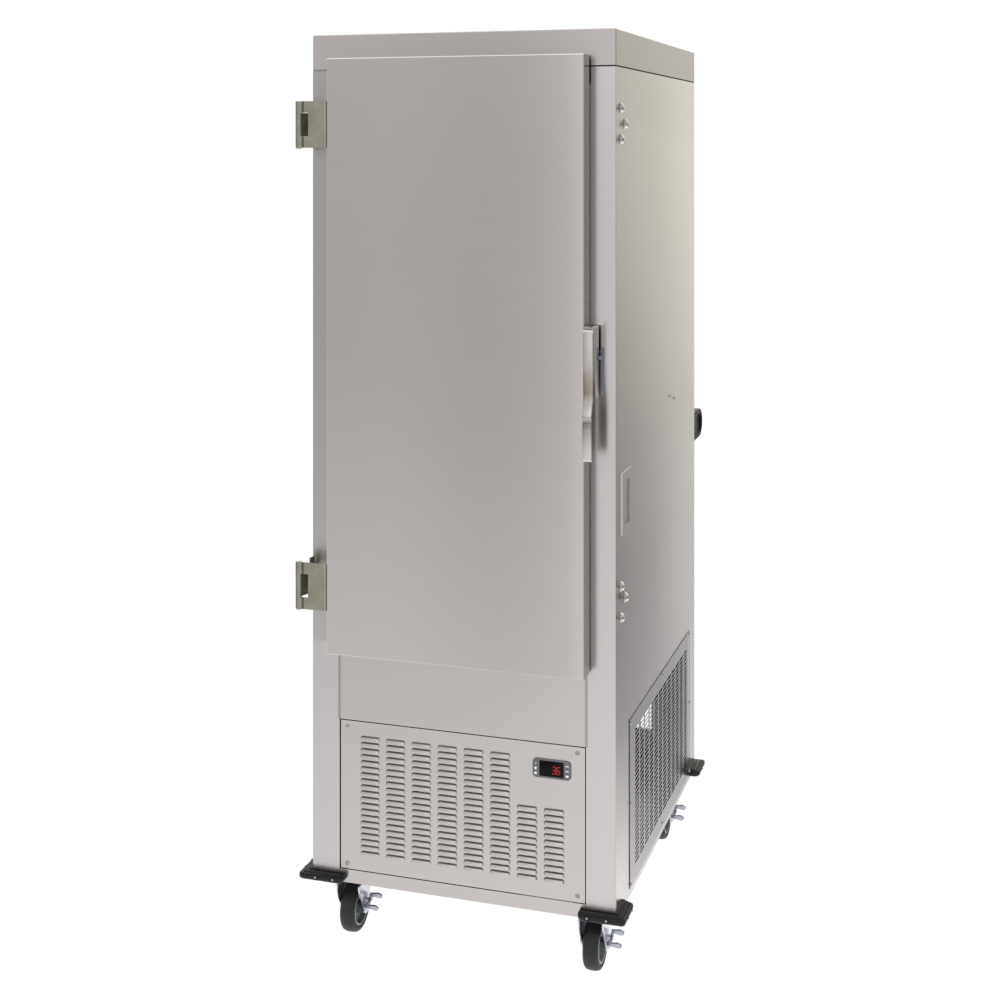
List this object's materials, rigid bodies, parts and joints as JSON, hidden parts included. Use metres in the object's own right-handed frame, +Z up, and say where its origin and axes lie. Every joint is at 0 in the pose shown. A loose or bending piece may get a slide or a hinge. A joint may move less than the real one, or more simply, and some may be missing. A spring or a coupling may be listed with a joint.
{
  "type": "air curtain refrigerator",
  "caption": "Upright stainless steel refrigerator cabinet on swivel casters, with a hinged solid door, a louvred service panel and an inner duct that blows an air curtain.",
  "frame": {"origin": "on the floor, under the middle of the outer box, push bar and latch included", "axes": "+Z up, +X to the right as seen from the front, -Y out of the front, where the door is"},
  "size_m": [0.6978, 0.9948, 1.895],
  "materials": {
    "stainless": "satin",
    "seam_strip": "matte",
    "foam": "matte",
    "breaker": "satin",
    "zinc_sheet": "satin",
    "bright_screw": "gloss",
    "bumper": "matte",
    "bezel": "satin",
    "display": "gloss",
    "key": "satin",
    "hinge": "satin",
    "push_handle": "satin",
    "strike": "satin",
    "compressor": "satin",
    "coil": "satin",
    "fan": "satin",
    "duct": "satin",
    "gasket": "matte",
    "caster_zinc": "satin",
    "caster_tyre": "matte"
  },
  "bodies": {
    "cabinet": {"side_panel_left": "stainless", "side_panel_right": "stainless", "top_cap": "stainless", "rear_panel": "stainless", "front_frame": "stainless", "base_frame": "stainless", "machine_deck": "stainless", "louver_panel": "stainless", "side_grille": "stainless", "card_holder": "stainless", "liner": "stainless", "cap_gasket": "seam_strip", "foam_insulation": "foam", "breaker_frame": "breaker", "fan_shroud": "zinc_sheet", "rear_guard": "zinc_sheet", "panel_screws": "bright_screw", "hinge_screws": "bright_screw", "hinge_pins": "bright_screw", "hole_plugs": "bright_screw", "corner_bumpers": "bumper", "controller": "bezel", "controller_lens": "display", "hinge_leaves_cabinet": "hinge", "push_bar": "push_handle", "push_bar_brackets": "push_handle", "latch_strike": "strike", "compressor": "compressor", "condenser_coil": "coil", "evaporator_coil": "coil", "air_duct": "duct", "tray_slides": "duct", "caster_plates": "caster_zinc"},
    "door": {"door_outer_pan": "stainless", "door_inner_pan": "stainless", "door_foam": "foam", "door_gasket": "gasket", "hinge_leaves_door": "hinge", "latch_housing": "stainless"},
    "latch_lever": {"latch_lever": "stainless"},
    "condenser_fan": {"condenser_fan": "fan"},
    "evaporator_fan": {"evaporator_fan": "fan"},
    "key_left_top": {"key_left_top": "key"},
    "key_left_middle": {"key_left_middle": "key"},
    "key_left_bottom": {"key_left_bottom": "key"},
    "key_right_top": {"key_right_top": "key"},
    "key_right_middle": {"key_right_middle": "key"},
    "key_right_bottom": {"key_right_bottom": "key"},
    "caster_fork_front_left": {"caster_fork_front_left": "caster_zinc"},
    "caster_wheel_front_left": {"caster_wheel_front_left": "caster_tyre"},
    "caster_brake_front_left": {"caster_brake_front_left": "caster_zinc"},
    "caster_fork_front_right": {"caster_fork_front_right": "caster_zinc"},
    "caster_wheel_front_right": {"caster_wheel_front_right": "caster_tyre"},
    "caster_brake_front_right": {"caster_brake_front_right": "caster_zinc"},
    "caster_fork_rear_left": {"caster_fork_rear_left": "caster_zinc"},
    "caster_wheel_rear_left": {"caster_wheel_rear_left": "caster_tyre"},
    "caster_brake_rear_left": {"caster_brake_rear_left": "caster_zinc"},
    "caster_fork_rear_right": {"caster_fork_rear_right": "caster_zinc"},
    "caster_wheel_rear_right": {"caster_wheel_rear_right": "caster_tyre"},
    "caster_brake_rear_right": {"caster_brake_rear_right": "caster_zinc"}
  },
  "joints": [
    {"name": "door_hinge", "type": "hinge", "parent": "cabinet", "child": "door", "pos_m": [-0.3364, -0.47515, 1.233], "axis": [0, 0, -1], "range_deg": [0, 255]},
    {"name": "latch_pull", "type": "hinge", "parent": "door", "child": "latch_lever", "pos_m": [0.2825, -0.48185, 1.304], "axis": [-1, 0, 0], "range_deg": [0, 20]},
    {"name": "condenser_fan_spin", "type": "hinge", "parent": "cabinet", "child": "condenser_fan", "pos_m": [-0.081, -0.28465, 0.3155], "axis": [0, 1, 0], "continuous": true},
    {"name": "evaporator_fan_spin", "type": "hinge", "parent": "cabinet", "child": "evaporator_fan", "pos_m": [0, 0.26585, 0.761], "axis": [0, 1, 0], "continuous": true},
    {"name": "key_left_top_press", "type": "slide", "parent": "cabinet", "child": "key_left_top", "axis": [0, 1, 0], "range_m": [0, 0.0006], "stiffness_N_per_m": 300},
    {"name": "key_left_middle_press", "type": "slide", "parent": "cabinet", "child": "key_left_middle", "axis": [0, 1, 0], "range_m": [0, 0.0006], "stiffness_N_per_m": 300},
    {"name": "key_left_bottom_press", "type": "slide", "parent": "cabinet", "child": "key_left_bottom", "axis": [0, 1, 0], "range_m": [0, 0.0006], "stiffness_N_per_m": 300},
    {"name": "key_right_top_press", "type": "slide", "parent": "cabinet", "child": "key_right_top", "axis": [0, 1, 0], "range_m": [0, 0.0006], "stiffness_N_per_m": 300},
    {"name": "key_right_middle_press", "type": "slide", "parent": "cabinet", "child": "key_right_middle", "axis": [0, 1, 0], "range_m": [0, 0.0006], "stiffness_N_per_m": 300},
    {"name": "key_right_bottom_press", "type": "slide", "parent": "cabinet", "child": "key_right_bottom", "axis": [0, 1, 0], "range_m": [0, 0.0006], "stiffness_N_per_m": 300},
    {"name": "caster_swivel_front_left", "type": "hinge", "parent": "cabinet", "child": "caster_fork_front_left", "pos_m": [-0.263, -0.31765, 0.11], "axis": [0, 0, 1], "continuous": true},
    {"name": "caster_roll_front_left", "type": "hinge", "parent": "caster_fork_front_left", "child": "caster_wheel_front_left", "pos_m": [-0.263, -0.35065, 0.0508], "axis": [1, 0, 0], "continuous": true},
    {"name": "caster_brake_front_left", "type": "hinge", "parent": "caster_fork_front_left", "child": "caster_brake_front_left", "pos_m": [-0.2315, -0.34865, 0.0648], "axis": [1, 0, 0], "range_deg": [0, 14]},
    {"name": "caster_swivel_front_right", "type": "hinge", "parent": "cabinet", "child": "caster_fork_front_right", "pos_m": [0.263, -0.31765, 0.11], "axis": [0, 0, 1], "continuous": true},
    {"name": "caster_roll_front_right", "type": "hinge", "parent": "caster_fork_front_right", "child": "caster_wheel_front_right", "pos_m": [0.263, -0.35065, 0.0508], "axis": [1, 0, 0], "continuous": true},
    {"name": "caster_brake_front_right", "type": "hinge", "parent": "caster_fork_front_right", "child": "caster_brake_front_right", "pos_m": [0.2945, -0.34865, 0.0648], "axis": [1, 0, 0], "range_deg": [0, 14]},
    {"name": "caster_swivel_rear_left", "type": "hinge", "parent": "cabinet", "child": "caster_fork_rear_left", "pos_m": [-0.263, 0.32535, 0.11], "axis": [0, 0, 1], "continuous": true},
    {"name": "caster_roll_rear_left", "type": "hinge", "parent": "caster_fork_rear_left", "child": "caster_wheel_rear_left", "pos_m": [-0.263, 0.29235, 0.0508], "axis": [1, 0, 0], "continuous": true},
    {"name": "caster_brake_rear_left", "type": "hinge", "parent": "caster_fork_rear_left", "child": "caster_brake_rear_left", "pos_m": [-0.2315, 0.29435, 0.0648], "axis": [1, 0, 0], "range_deg": [0, 14]},
    {"name": "caster_swivel_rear_right", "type": "hinge", "parent": "cabinet", "child": "caster_fork_rear_right", "pos_m": [0.263, 0.32535, 0.11], "axis": [0, 0, 1], "continuous": true},
    {"name": "caster_roll_rear_right", "type": "hinge", "parent": "caster_fork_rear_right", "child": "caster_wheel_rear_right", "pos_m": [0.263, 0.29235, 0.0508], "axis": [1, 0, 0], "continuous": true},
    {"name": "caster_brake_rear_right", "type": "hinge", "parent": "caster_fork_rear_right", "child": "caster_brake_rear_right", "pos_m": [0.2945, 0.29435, 0.0648], "axis": [1, 0, 0], "range_deg": [0, 14]}
  ]
}
